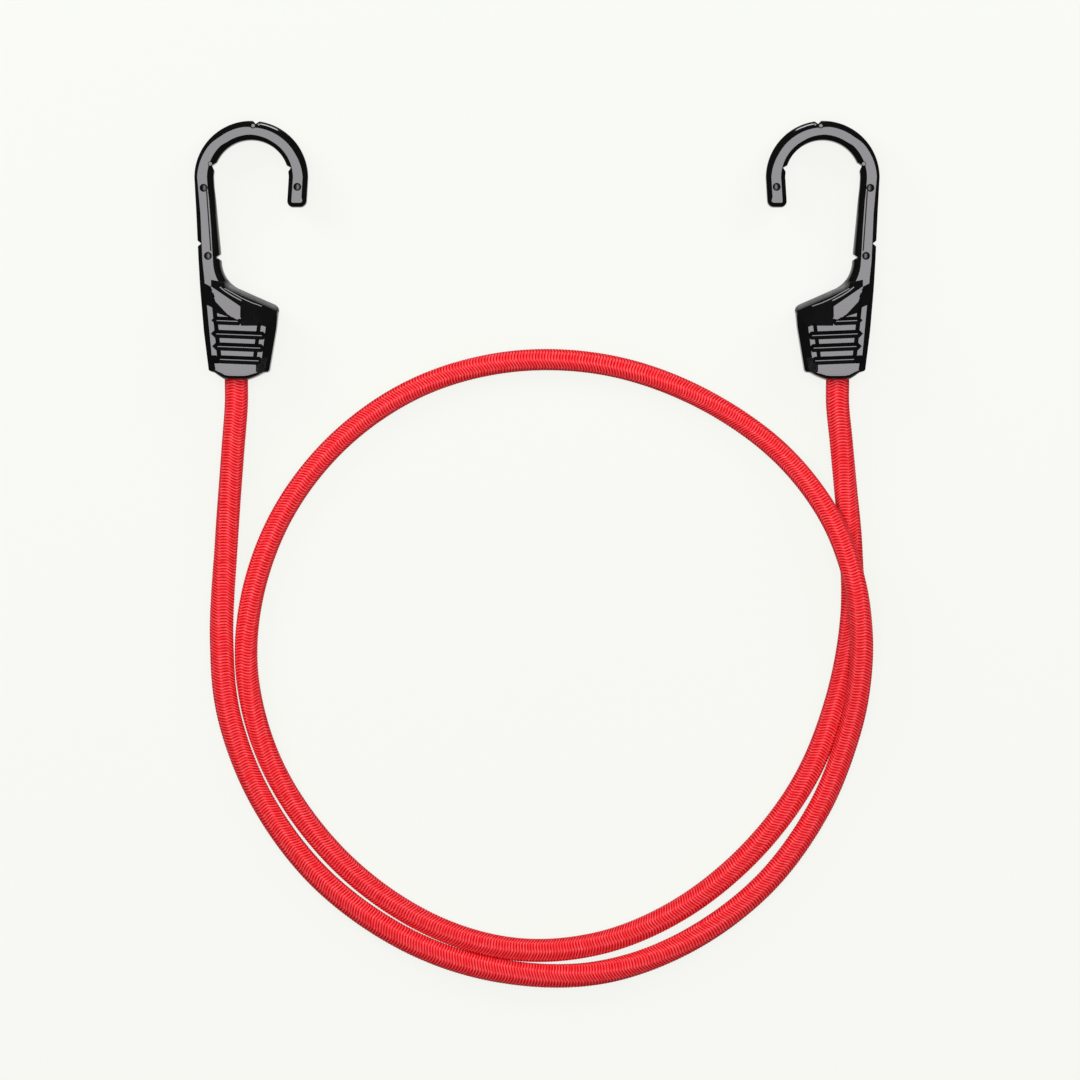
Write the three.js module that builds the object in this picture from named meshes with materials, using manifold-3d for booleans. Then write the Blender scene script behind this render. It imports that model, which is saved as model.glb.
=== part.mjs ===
// Bungee cord: an elastic braided cord in an open double loop, with a moulded hook on each end.
// Millimetres. +X runs from the left hook to the right one, +Y towards the tops of the hooks,
// +Z up. The cord and the hooks' sockets lie on z = 0, and the origin is midway between the hooks.
import * as THREE from "three";
import { mergeVertices } from "three/addons/utils/BufferGeometryUtils.js";
import Module from "manifold-3d";

const wasm = await Module();
wasm.setup();

// Driving dimensions

// Gap between two pieces that touch, and how far a cutter runs past what it cuts.
const clearance = 0.3;
const overrun = 1;

// The cord is a bundle of rubber threads in a braided cover. A thread is cut square.
const cord = {
  diameter: 7.2,
  coverWall: 0.6,
  coverSides: 12,
  threadGap: 0.2,
  outerThreads: 10,
  innerThreads: 4,
  stepDiameters: 2.6,
  restGap: 0.1,
  insertion: 26,
  straightRun: 7.5,
  samplesPerPoint: 30,
};

// The two hooks stand side by side: distance between the two cord exits, and the height of a hook.
const hookSpacing = 187.6;

// Bend of a hook: the free radius inside it, how far its centre lies beside the cord's line,
// and how high above the end of the nose.
const bend = { throatRadius: 11.7, side: 4.7, rise: 63.1, segments: 18 };
const bar = { width: 6, depth: 8, chamfer: 1.3, chamferDepth: 1.6 };
const tip = { length: 9.2, corner: 1.9 };
const shank = { rootWidth: 7.8, filletRise: 4.1, filletRun: 5.1, filletTopShare: 0.75, footRise: 20, footInset: 1 };

// Socket that holds the cord's end. Reaches are measured from the cord's line, rises from the
// end of the nose. The outer side is the shank's, the inner side is the shoulder's.
const socket = {
  depth: 14,
  rootReach: 11.4,
  rootRise: 31.9,
  shoulderReach: 13.3,
  shoulderRise: 23,
  shoulderSlopeDeg: 23.6,
  shoulderCorner: 2.2,
  heelOuter: 8.4,
  heelInner: 10.4,
  heelRise: 3.1,
  noseHalfWidth: 4.9,
  chamfer: 3,
  chamferDepth: 1.7,
  cornerSegments: 2,
  seatRise: 11,
  roundSegments: 24,
};

// Grip grooves across both faces of the socket.
const grip = { count: 4, pitch: 4, firstRise: 6.6, width: 2.5, depth: 0.8, reach: 7.8 };

// Steel core inside the hook, and the marks of the mould pins that hold it while the plastic sets.
const core = { diameter: 3, footReach: 7.5, footRise: 17.2, tipCover: 2.2, sides: 8, steps: 24 };
const pinHole = { diameter: 2.5, segments: 12 };
const pinShares = { shank: [0.1, 0.78], tip: [0.33] };
const notch = { depth: 1.1, halfWidth: 1.2 };
const notchPlaces = { bendOuterDeg: [85], bendInnerDeg: [163, 14], shankOuterShare: 0.66, shankInnerShare: 0.8 };

// Crimped sleeve on the cord's end, with its crimp rings.
const sleeve = { length: 10, wall: 0.8, crimps: 2, crimpWidth: 1.4, crimpDepth: 0.3, segments: 20 };

// Route of the cord between the hooks: x, y and the lift above its height at rest.
// The first loop's right side climbs over the run to the right hook and comes down again.
const route = [
  [-95, -62, 2.2], [-97, -90.5, 0.2], [-98.5, -121.5, 0.1], [-96.5, -145, 0], [-86, -171.5, 0],
  [-67, -196, 0], [-39.5, -215.5, 0], [-12, -224.5, 0], [17.5, -225.5, 0], [45, -216.5, 0],
  [70, -198, 0], [87.5, -174, 0.2], [97.8, -150, 2], [101.3, -134, 4.9], [101.3, -118.5, 7.2],
  [98.5, -101.5, 8.2], [91, -82, 5.7], [74.5, -62, 0.8], [49.5, -45, 0], [21.5, -35.5, 0],
  [-8.5, -34.5, 0], [-36.5, -42, 0], [-61.5, -59, 0], [-79, -81.5, 0], [-89.5, -109, 0],
  [-90.2, -134, 0], [-81.2, -163, 0], [-61, -190, 0], [-34, -209.5, 0], [-7, -217, 0],
  [19.5, -216, 0], [43.5, -206, 0], [66, -188, 0], [83, -165.5, 0], [93, -140, 0],
  [98, -115, 0], [98, -93.5, 0], [96, -74.5, 0.3], [95, -59, 2.2],
];

// Sizes worked out from them

const cordRadius = cord.diameter / 2;
const boreRadius = cordRadius + clearance;
const sleeveRadius = boreRadius + sleeve.wall;
const chamberRadius = sleeveRadius + clearance;
const barRadius = bend.throatRadius + bar.width / 2;
const bendOuterRadius = bend.throatRadius + bar.width;
const hookHeight = bend.rise + bendOuterRadius;
const noseY = -hookHeight / 2;
const socketMiddle = socket.depth / 2;
const shoulderSlope = Math.tan(THREE.MathUtils.degToRad(socket.shoulderSlopeDeg));
const shoulderAt = (u) => socket.shoulderRise + (socket.shoulderReach - u) * shoulderSlope;

// Materials

const materials = {
  cover: new THREE.MeshStandardMaterial({ color: 0xe02c38, roughness: 0.8, metalness: 0 }),
  thread: new THREE.MeshStandardMaterial({ color: 0xd9c9a3, roughness: 0.7, metalness: 0 }),
  plastic: new THREE.MeshStandardMaterial({ color: 0x131315, roughness: 0.25, metalness: 0 }),
  steel: new THREE.MeshStandardMaterial({ color: 0x9a9ca0, roughness: 0.4, metalness: 1 }),
  sleeve: new THREE.MeshStandardMaterial({ color: 0xb9bcc0, roughness: 0.35, metalness: 1 }),
};

// Joining and cutting

function toSolid(geometry) {
  const bare = new THREE.BufferGeometry();
  bare.setAttribute("position", geometry.getAttribute("position"));
  if (geometry.index) bare.setIndex(geometry.index);
  const merged = mergeVertices(bare, clearance / 100);
  return new wasm.Manifold(new wasm.Mesh({
    numProp: 3,
    vertProperties: new Float32Array(merged.getAttribute("position").array),
    triVerts: new Uint32Array(merged.index.array),
  }));
}

function toGeometry(solid) {
  const mesh = solid.getMesh();
  const geometry = new THREE.BufferGeometry();
  geometry.setAttribute("position", new THREE.BufferAttribute(mesh.vertProperties, 3));
  geometry.setIndex(new THREE.BufferAttribute(mesh.triVerts, 1));
  geometry.computeVertexNormals();
  return geometry;
}

// A plate of the outline's shape with chamfered edges, centred on z = 0.
function chamferedPlate(outline, depth, chamfer, chamferDepth, curveSegments) {
  const plate = new THREE.ExtrudeGeometry(outline, {
    depth: depth - 2 * chamferDepth,
    bevelEnabled: true,
    bevelSize: chamfer,
    bevelOffset: -chamfer,
    bevelThickness: chamferDepth,
    bevelSegments: 1,
    curveSegments,
  });
  plate.translate(0, 0, chamferDepth - depth / 2);
  return plate;
}

// A rod of the given section that goes right through the hook, front to back.
function throughCutter(outline) {
  const length = socket.depth + 2 * overrun;
  const cutter = new THREE.ExtrudeGeometry(outline, { depth: length, bevelEnabled: false });
  cutter.translate(0, 0, -length / 2);
  return cutter;
}

function polygonSection(radius, sides, centreX = 0, centreY = 0, turn = 0) {
  const corners = Array.from({ length: sides }, (_, k) => {
    const angle = turn + (2 * Math.PI * k) / sides;
    return new THREE.Vector2(centreX + radius * Math.cos(angle), centreY + radius * Math.sin(angle));
  });
  return new THREE.Shape(corners);
}

// Cord

function cordPath() {
  const exitX = hookSpacing / 2;
  const runEnd = noseY - cord.straightRun;
  const restHeight = cordRadius + cord.restGap;
  const inHook = [noseY + cord.insertion, noseY, runEnd];
  const points = [
    ...inHook.map((y) => new THREE.Vector3(-exitX, y, socketMiddle)),
    ...route.map(([x, y, lift]) => new THREE.Vector3(x, y, restHeight + lift)),
    ...inHook.reverse().map((y) => new THREE.Vector3(exitX, y, socketMiddle)),
  ];
  const path = new THREE.CatmullRomCurve3(points);
  path.arcLengthDivisions = cord.samplesPerPoint * points.length;
  return path;
}

function alongCord(section, path) {
  const steps = Math.round(path.getLength() / (cord.stepDiameters * cord.diameter));
  return new THREE.ExtrudeGeometry(section, { steps, extrudePath: path, bevelEnabled: false });
}

function coverGeometry(path) {
  const section = polygonSection(cordRadius, cord.coverSides);
  section.holes.push(polygonSection(cordRadius - cord.coverWall, cord.coverSides));
  return alongCord(section, path);
}

// Two rings of threads fill the cover. A thread's size is what both rings leave room for.
function threadPlaces() {
  const room = (cordRadius - cord.coverWall) * Math.cos(Math.PI / cord.coverSides) - cord.threadGap;
  const outerSine = Math.sin(Math.PI / cord.outerThreads);
  const innerSine = Math.sin(Math.PI / cord.innerThreads);
  const outerFit = (2 * outerSine * room - cord.threadGap) / (1 + outerSine);
  const innerFit = (2 * innerSine * (room - cord.threadGap) - cord.threadGap) / (1 + 3 * innerSine);
  const across = Math.min(outerFit, innerFit);
  const outerRing = room - across / 2;
  const innerRing = outerRing - across - cord.threadGap;
  const ring = (radius, count) => Array.from({ length: count }, (_, k) => {
    const angle = (2 * Math.PI * k) / count;
    return { x: radius * Math.cos(angle), y: radius * Math.sin(angle), angle, across };
  });
  return [...ring(innerRing, cord.innerThreads), ...ring(outerRing, cord.outerThreads)];
}

function threadGeometry(place, path) {
  return alongCord(polygonSection(place.across / 2, 4, place.x, place.y, place.angle), path);
}

// Hook, in its own frame: the cord's line is the Y axis, the end of the nose is y = 0 and the
// hook's middle plane is z = 0. It is the same front and back.

function barOutline() {
  const outline = new THREE.Shape();
  const innerTop = bend.side - bend.throatRadius;
  const rootInner = shank.rootWidth - socket.rootReach;
  const tipEnd = bend.rise - tip.length;
  const tipOuter = bend.side + bendOuterRadius;
  const tipInner = bend.side + bend.throatRadius;
  const footEnd = rootInner + shank.filletRun;
  outline.moveTo(-socket.rootReach + shank.footInset, shank.footRise);
  outline.lineTo(-socket.rootReach, socket.rootRise);
  outline.absarc(bend.side, bend.rise, bendOuterRadius, Math.PI, 0, true);
  outline.lineTo(tipOuter, tipEnd + tip.corner);
  outline.quadraticCurveTo(tipOuter, tipEnd, tipOuter - tip.corner, tipEnd);
  outline.lineTo(tipInner + tip.corner, tipEnd);
  outline.quadraticCurveTo(tipInner, tipEnd, tipInner, tipEnd + tip.corner);
  outline.absarc(bend.side, bend.rise, bend.throatRadius, 0, Math.PI, false);
  const filletTop = THREE.MathUtils.lerp(innerTop, rootInner, shank.filletTopShare);
  outline.lineTo(filletTop, socket.rootRise + shank.filletRise);
  outline.quadraticCurveTo(rootInner, shoulderAt(rootInner), footEnd, shoulderAt(footEnd));
  outline.lineTo(footEnd, shank.footRise);
  return outline;
}

function socketOutline() {
  const outline = new THREE.Shape();
  const rootInner = shank.rootWidth - socket.rootReach;
  const cornerStart = socket.shoulderRise - socket.shoulderCorner;
  const sideLean = (socket.shoulderReach - socket.heelInner) / (socket.shoulderRise - socket.heelRise);
  const cornerEnd = socket.shoulderReach - socket.shoulderCorner;
  outline.moveTo(-socket.heelOuter, socket.heelRise);
  outline.lineTo(-socket.noseHalfWidth, 0);
  outline.lineTo(socket.noseHalfWidth, 0);
  outline.lineTo(socket.heelInner, socket.heelRise);
  outline.lineTo(socket.shoulderReach - socket.shoulderCorner * sideLean, cornerStart);
  outline.quadraticCurveTo(socket.shoulderReach, socket.shoulderRise, cornerEnd, shoulderAt(cornerEnd));
  outline.lineTo(rootInner, shoulderAt(rootInner));
  outline.lineTo(-socket.rootReach, socket.rootRise);
  return outline;
}

// Centre line of the steel core: up the shank, round the bend and down into the tip.
class CoreLine extends THREE.Curve {
  constructor(extra) {
    super();
    const top = new THREE.Vector3(bend.side - barRadius, bend.rise, 0);
    const foot = new THREE.Vector3(-core.footReach, core.footRise, 0);
    this.down = foot.clone().sub(top).normalize();
    this.top = top;
    this.shankLength = top.distanceTo(foot) + extra;
    this.bendLength = Math.PI * barRadius;
    this.tipLength = tip.length - core.tipCover + extra;
  }

  getPoint(t, target = new THREE.Vector3()) {
    const along = t * (this.shankLength + this.bendLength + this.tipLength);
    if (along <= this.shankLength) {
      return target.copy(this.down).multiplyScalar(this.shankLength - along).add(this.top);
    }
    if (along <= this.shankLength + this.bendLength) {
      const angle = Math.PI - (along - this.shankLength) / barRadius;
      return target.set(bend.side + barRadius * Math.cos(angle), bend.rise + barRadius * Math.sin(angle), 0);
    }
    const drop = along - this.shankLength - this.bendLength;
    return target.set(bend.side + barRadius, bend.rise - drop, 0);
  }
}

function coreSweep(radius, extra) {
  const section = polygonSection(radius, core.sides, 0, 0, Math.PI / core.sides);
  const path = new CoreLine(extra);
  return new THREE.ExtrudeGeometry(section, { steps: core.steps, extrudePath: path, bevelEnabled: false });
}

// Room for the cord and its sleeve: a bore from the nose up to the seat, then a chamber that is
// open on the shoulder.
function chamberCutter() {
  const profile = [
    [0, -overrun], [boreRadius, -overrun], [boreRadius, socket.seatRise],
    [chamberRadius, socket.seatRise], [chamberRadius, socket.rootRise], [0, socket.rootRise],
  ];
  return new THREE.LatheGeometry(profile.map(([r, y]) => new THREE.Vector2(r, y)), socket.roundSegments);
}

function pinCutters() {
  const down = new CoreLine(0).down;
  const onShank = pinShares.shank.map((share) => {
    const drop = share * (bend.rise - socket.rootRise);
    return [bend.side - barRadius - down.x / down.y * drop, bend.rise - drop];
  });
  const onTip = pinShares.tip.map((share) => [bend.side + barRadius, bend.rise - share * tip.length]);
  const hole = ([x, y]) => throughCutter(polygonSection(pinHole.diameter / 2, pinHole.segments, x, y));
  return [...onShank, ...onTip].map(hole);
}

// A notch is a wedge whose point lies the notch's depth inside the edge it is cut in.
function notchCutter(x, y, inward) {
  const mouth = overrun / notch.depth;
  const side = new THREE.Vector2(-inward.y, inward.x).multiplyScalar(notch.halfWidth * (1 + mouth));
  const edge = new THREE.Vector2(x, y);
  const out = edge.clone().addScaledVector(inward, -overrun);
  const point = edge.clone().addScaledVector(inward, notch.depth);
  return throughCutter(new THREE.Shape([point, out.clone().add(side), out.clone().sub(side)]));
}

function notchCutters() {
  const onBend = (degrees, radius, sign) => {
    const angle = THREE.MathUtils.degToRad(degrees);
    const ray = new THREE.Vector2(Math.cos(angle), Math.sin(angle));
    return notchCutter(bend.side + ray.x * radius, bend.rise + ray.y * radius, ray.multiplyScalar(sign));
  };
  const onShank = (share, topX, rootX, sign) => {
    const y = THREE.MathUtils.lerp(bend.rise, socket.rootRise, share);
    return notchCutter(THREE.MathUtils.lerp(topX, rootX, share), y, new THREE.Vector2(sign, 0));
  };
  const rootInner = shank.rootWidth - socket.rootReach;
  const outerTop = bend.side - bendOuterRadius;
  const innerTop = bend.side - bend.throatRadius;
  return [
    ...notchPlaces.bendOuterDeg.map((degrees) => onBend(degrees, bendOuterRadius, -1)),
    ...notchPlaces.bendInnerDeg.map((degrees) => onBend(degrees, bend.throatRadius, 1)),
    onShank(notchPlaces.shankOuterShare, outerTop, -socket.rootReach, 1),
    onShank(notchPlaces.shankInnerShare, innerTop, rootInner, -1),
  ];
}

function gripCutters() {
  const height = grip.depth + overrun;
  const cutters = [];
  for (let k = 0; k < grip.count; k += 1) {
    for (const face of [-1, 1]) {
      const groove = new THREE.BoxGeometry(2 * grip.reach, grip.width, height);
      const z = face * (socketMiddle - grip.depth + height / 2);
      groove.translate(0, grip.firstRise + k * grip.pitch, z);
      cutters.push(groove);
    }
  }
  return cutters;
}

function hookBodyGeometry() {
  const barPlate = chamferedPlate(barOutline(), bar.depth, bar.chamfer, bar.chamferDepth, bend.segments);
  const block = chamferedPlate(
    socketOutline(), socket.depth, socket.chamfer, socket.chamferDepth, socket.cornerSegments,
  );
  const blank = toSolid(barPlate).add(toSolid(block));
  const cutters = [
    chamberCutter(),
    coreSweep(core.diameter / 2 + clearance, clearance),
    ...pinCutters(),
    ...notchCutters(),
    ...gripCutters(),
  ];
  return toGeometry(cutters.reduce((solid, cutter) => solid.subtract(toSolid(cutter)), blank));
}

function sleeveGeometry() {
  const bottom = socket.seatRise + clearance;
  const top = bottom + sleeve.length;
  const crimpRadius = sleeveRadius - sleeve.crimpDepth;
  const profile = [[boreRadius, bottom], [sleeveRadius, bottom]];
  for (let k = 1; k <= sleeve.crimps; k += 1) {
    const middle = bottom + (k * sleeve.length) / (sleeve.crimps + 1);
    const start = middle - sleeve.crimpWidth / 2;
    const end = middle + sleeve.crimpWidth / 2;
    profile.push([sleeveRadius, start - sleeve.crimpDepth], [crimpRadius, start]);
    profile.push([crimpRadius, end], [sleeveRadius, end + sleeve.crimpDepth]);
  }
  profile.push([sleeveRadius, top], [boreRadius, top], [boreRadius, bottom]);
  return new THREE.LatheGeometry(profile.map(([r, y]) => new THREE.Vector2(r, y)), sleeve.segments);
}

// Assembly

function namedMesh(name, geometry, material) {
  const mesh = new THREE.Mesh(geometry, material);
  mesh.name = name;
  return mesh;
}

function cordGroup() {
  const path = cordPath();
  const cordPieces = new THREE.Group();
  cordPieces.add(namedMesh("cord_cover", coverGeometry(path), materials.cover));
  threadPlaces().forEach((place, k) => {
    const name = `rubber_thread_${String(k + 1).padStart(2, "0")}`;
    cordPieces.add(namedMesh(name, threadGeometry(place, path), materials.thread));
  });
  return cordPieces;
}

function hookGroup(side, geometries) {
  const hook = new THREE.Group();
  hook.add(namedMesh(`${side}_hook_body`, geometries.body, materials.plastic));
  hook.add(namedMesh(`${side}_steel_core`, geometries.core, materials.steel));
  hook.add(namedMesh(`${side}_crimp_sleeve`, geometries.sleeve, materials.sleeve));
  return hook;
}

const hookGeometries = {
  body: hookBodyGeometry(),
  core: coreSweep(core.diameter / 2, 0),
  sleeve: sleeveGeometry(),
};

// Both hooks are the same moulding: the right one is turned over about its cord's line.
const leftHook = hookGroup("left", hookGeometries);
leftHook.position.set(-hookSpacing / 2, noseY, socketMiddle);
const rightHook = hookGroup("right", hookGeometries);
rightHook.position.set(hookSpacing / 2, noseY, socketMiddle);
rightHook.rotation.y = Math.PI;

const group = new THREE.Group();
group.add(cordGroup(), leftHook, rightHook);

export default group;
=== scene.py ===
"""Bungee cord: a red braided elastic cord in an open double loop, with a black hook on each end.

Sizes and places are in millimetres and become metres where a mesh is made. +X runs from the left
hook to the right one, +Y towards the tops of the hooks, +Z up from the surface the cord lies on.
"""

import functools
import math

import bmesh
import bpy
import numpy as np
from mathutils import Matrix, Vector

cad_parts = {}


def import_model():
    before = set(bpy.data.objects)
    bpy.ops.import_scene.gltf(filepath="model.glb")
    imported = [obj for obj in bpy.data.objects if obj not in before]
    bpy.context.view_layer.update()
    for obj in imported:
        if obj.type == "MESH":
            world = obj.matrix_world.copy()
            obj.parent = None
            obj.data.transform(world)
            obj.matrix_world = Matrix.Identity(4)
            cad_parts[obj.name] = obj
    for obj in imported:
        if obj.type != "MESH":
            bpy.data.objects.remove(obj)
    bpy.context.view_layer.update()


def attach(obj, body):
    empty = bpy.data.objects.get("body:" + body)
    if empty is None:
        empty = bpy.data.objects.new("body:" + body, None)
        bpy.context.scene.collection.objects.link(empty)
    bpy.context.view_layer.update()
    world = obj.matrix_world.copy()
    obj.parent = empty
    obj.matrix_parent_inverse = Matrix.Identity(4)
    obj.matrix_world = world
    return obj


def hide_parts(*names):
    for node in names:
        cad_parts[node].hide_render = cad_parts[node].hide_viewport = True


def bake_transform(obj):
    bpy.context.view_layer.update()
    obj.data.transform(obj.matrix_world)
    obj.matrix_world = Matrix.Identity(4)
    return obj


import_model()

MM = 0.001

# Places that the cord and the hooks share
HOOK_X = 93.8
NOSE_Y = -40.4
AXIS_Z = 7.0

# Cord
CORD_RADIUS = 3.6
COVER_WALL = 0.6
INSERTION = 26.0
STRAIGHT_RUN = 7.5
REST_HEIGHT = 3.7

# Centre line between the two straight runs, from the left: the place, and its lift above REST_HEIGHT
ROUTE = (
    (-94.9, -62.1, 2.2), (-97, -90.5, 0.2), (-98.5, -121.5, 0.1), (-96.2, -145.1, 0.1),
    (-86, -171.4, 0.1), (-67.1, -196.4, 0.1), (-39.9, -215.6, 0.1), (-12, -224.8, 0.1),
    (17.7, -225.7, 0.1), (44.9, -216.8, 0.1), (70.5, -198.3, 0), (88, -174.4, 0.3),
    (97.6, -149.9, 2.5), (100.7, -133.8, 5.4), (101.1, -118.5, 7.4), (98.5, -101.5, 8.2),
    (90.8, -82.1, 5.7), (74.7, -61.9, 0.7), (49.4, -45, -0.2), (21.5, -35.6, -0.2),
    (-8.3, -34.6, -0.2), (-36.8, -42.4, -0.2), (-61.2, -58.8, -0.2), (-79.3, -81.8, -0.1),
    (-89.1, -108.5, 0), (-90.3, -134.6, 0), (-81.7, -162.9, 0), (-61.4, -190.6, 0),
    (-34.2, -210, 0), (-7.1, -218.1, 0), (19.2, -216.3, 0), (43.7, -206.2, 0),
    (66.3, -188.3, 0), (83.5, -165.6, 0), (93.6, -140.3, 0), (98.3, -115, 0),
    (98.1, -93.5, 0), (96.4, -74.5, 0.3), (94.9, -59, 2.2),
)
SAMPLES_PER_SPAN = 120
PATH_STEP = 1.0

# The cover is made in three lengths, the two end ones beside their hooks.
LEFT_LENGTH = 370.0
RIGHT_LENGTH = 370.0

# Braid: ribs run round the cord in a zigzag, and each column of the braid leans the other way. A
# rib's profile is given in shares of its pitch and of its height.
COLUMNS = 8
POINTS_PER_COLUMN = 4
RIB_PITCH = 0.917
RIB_PROFILE = ((0.0, 0.0), (0.22, 0.62), (0.5, 1.0), (0.78, 0.62))
RIB_HEIGHT = 0.25
RIB_TOP = 3.68
RIB_LEAN = math.radians(14)
COLUMN_STAGGER = 0.16
SEAM_FILL = 0.62
UNEVENNESS = 0.3
STROKE_SEED = 4
PLAIN_END = 3.0
RINGS_PER_LINING = 12

# The ribs don't lie quite square to the cord. The side they tilt to turns slowly along it.
RING_TILT = 0.7
TILT_TURN = 47.0
TILT_SWAY = 0.8
TILT_SWAY_LENGTH = 29.0

# The braid's own turn about the cord: waves of this size, length and start, and a steady drift
TWIST_WAVES = ((0.5, 61.0, 1.1), (0.35, 23.7, 0.0))
TWIST_DRIFT = 260.0

# How thick the cord is at these places along it. It is thinner where it was pulled tight.
GIRTH = (
    (0, 1), (40, 1), (60, 0.985), (95, 1.015), (190, 1.03), (250, 1.03), (300, 1.01), (350, 1),
    (400, 0.985), (450, 0.96), (480, 0.925), (520, 0.915), (640, 0.915), (665, 0.935), (690, 0.965),
    (730, 0.985), (800, 0.99), (960, 1), (1120, 1),
)

# Threads
OUTER_THREADS = 10
INNER_THREADS = 4
THREAD_ACROSS = 1.32
OUTER_THREAD_RING = 2.05
INNER_THREAD_RING = 0.72
THREAD_CORNER = 0.2
THREAD_STEP = 4.0
THREAD_SHARP = math.radians(30)
THREAD_NODES = [f"rubber_thread_{k:02d}" for k in range(1, OUTER_THREADS + INNER_THREADS + 1)]

# Camera and stage
PHOTO_CENTRE = (0.94, -90.3)
PHOTO_WIDTH = 337.0
CAMERA_HEIGHT = 3000.0
SHARP_HEIGHT = 7.0
FLOOR_HALF = 12000.0


# Meshes


def new_piece(name, points, faces, material):
    """An object from points in millimetres and faces, shaded smooth."""
    mesh = bpy.data.meshes.new(name)
    mesh.from_pydata((np.asarray(points, float) * MM).tolist(), [], faces)
    mesh.polygons.foreach_set("use_smooth", [True] * len(mesh.polygons))
    mesh.materials.append(material)
    piece = bpy.data.objects.new(name, mesh)
    bpy.context.scene.collection.objects.link(piece)
    return piece


def band(first, second, around):
    """Quads between two rings of points, which start at these two numbers."""
    return [
        (first + j, first + (j + 1) % around, second + (j + 1) % around, second + j)
        for j in range(around)
    ]


def tube_faces(start, rings, around):
    """Quads between all rings of a tube whose points begin at this number."""
    faces = []
    for k in range(rings - 1):
        faces += band(start + k * around, start + (k + 1) * around, around)
    return faces


def mark_sharp(mesh, rings):
    """Makes the edges along these rings of vertices sharp."""
    ring_of = np.full(len(mesh.vertices), -1)
    for number, ring in enumerate(rings):
        ring_of[list(ring)] = number
    ends = np.empty(len(mesh.edges) * 2, int)
    mesh.edges.foreach_get("vertices", ends)
    first, second = ring_of[ends.reshape(-1, 2)].T
    mesh.attributes.new("sharp_edge", "BOOLEAN", "EDGE")
    mesh.attributes["sharp_edge"].data.foreach_set("value", (first >= 0) & (first == second))


# Cord


class CordLine:
    """The cord's centre line, with a frame that doesn't turn about it. Places on it are lengths."""

    def __init__(self):
        inside = [NOSE_Y + INSERTION, NOSE_Y, NOSE_Y - STRAIGHT_RUN]
        points = [(-HOOK_X, y, AXIS_Z) for y in inside]
        points += [(x, y, REST_HEIGHT + lift) for x, y, lift in ROUTE]
        points += [(HOOK_X, y, AXIS_Z) for y in reversed(inside)]
        self.points = self.smooth(np.array(points, float))
        steps = np.linalg.norm(np.diff(self.points, axis=0), axis=1)
        self.places = np.concatenate([[0.0], np.cumsum(steps)])
        self.length = float(self.places[-1])
        self.tangents = np.gradient(self.points, self.places, axis=0)
        self.tangents /= np.linalg.norm(self.tangents, axis=1)[:, None]
        self.sides = self.carried_sides()

    @staticmethod
    def smooth(points):
        """A smooth curve through the points. It doesn't overshoot where they lie close together."""
        before = np.vstack([2 * points[0] - points[1], points[:-1]])
        after = np.vstack([points[1:], 2 * points[-1] - points[-2]])
        spans = []
        shares = np.linspace(0, 1, SAMPLES_PER_SPAN, endpoint=False)[:, None]
        for k in range(len(points) - 1):
            p0, p1, p2, p3 = before[k], points[k], points[k + 1], after[k + 1]
            d0, d1, d2 = (math.sqrt(math.dist(a, b)) for a, b in ((p0, p1), (p1, p2), (p2, p3)))
            out = ((p1 - p0) / d0 - (p2 - p0) / (d0 + d1) + (p2 - p1) / d1) * d1
            into = ((p2 - p1) / d1 - (p3 - p1) / (d1 + d2) + (p3 - p2) / d2) * d1
            cubic = 2 * p1 - 2 * p2 + out + into
            square = -3 * p1 + 3 * p2 - 2 * out - into
            spans.append(p1 + out * shares + square * shares**2 + cubic * shares**3)
        return np.vstack([*spans, points[-1]])

    def carried_sides(self):
        """A direction across the cord that turns only as the cord bends."""
        side = np.array([1.0, 0.0, 0.0])
        sides = []
        for tangent in self.tangents:
            side = side - tangent * (side @ tangent)
            side /= np.linalg.norm(side)
            sides.append(side)
        return np.array(sides)

    def at(self, places, values):
        """Values between those of the centre line's own points."""
        return np.stack([np.interp(places, self.places, values[:, k]) for k in range(3)], axis=-1)

    def around(self, places, angles, radii):
        """Points at these lengths along the cord, angles about it and distances from it."""
        tangent = self.at(places, self.tangents)
        side = self.at(places, self.sides)
        up = np.cross(tangent, side)
        out = side * np.cos(angles)[..., None] + up * np.sin(angles)[..., None]
        return self.at(places, self.points) + out * radii[..., None]


def slow_twist(places):
    """How far the braid has turned about the cord, as a cord does that was laid by hand."""
    waves = sum(size * np.sin(places / length + start) for size, length, start in TWIST_WAVES)
    return waves + places / TWIST_DRIFT


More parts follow.
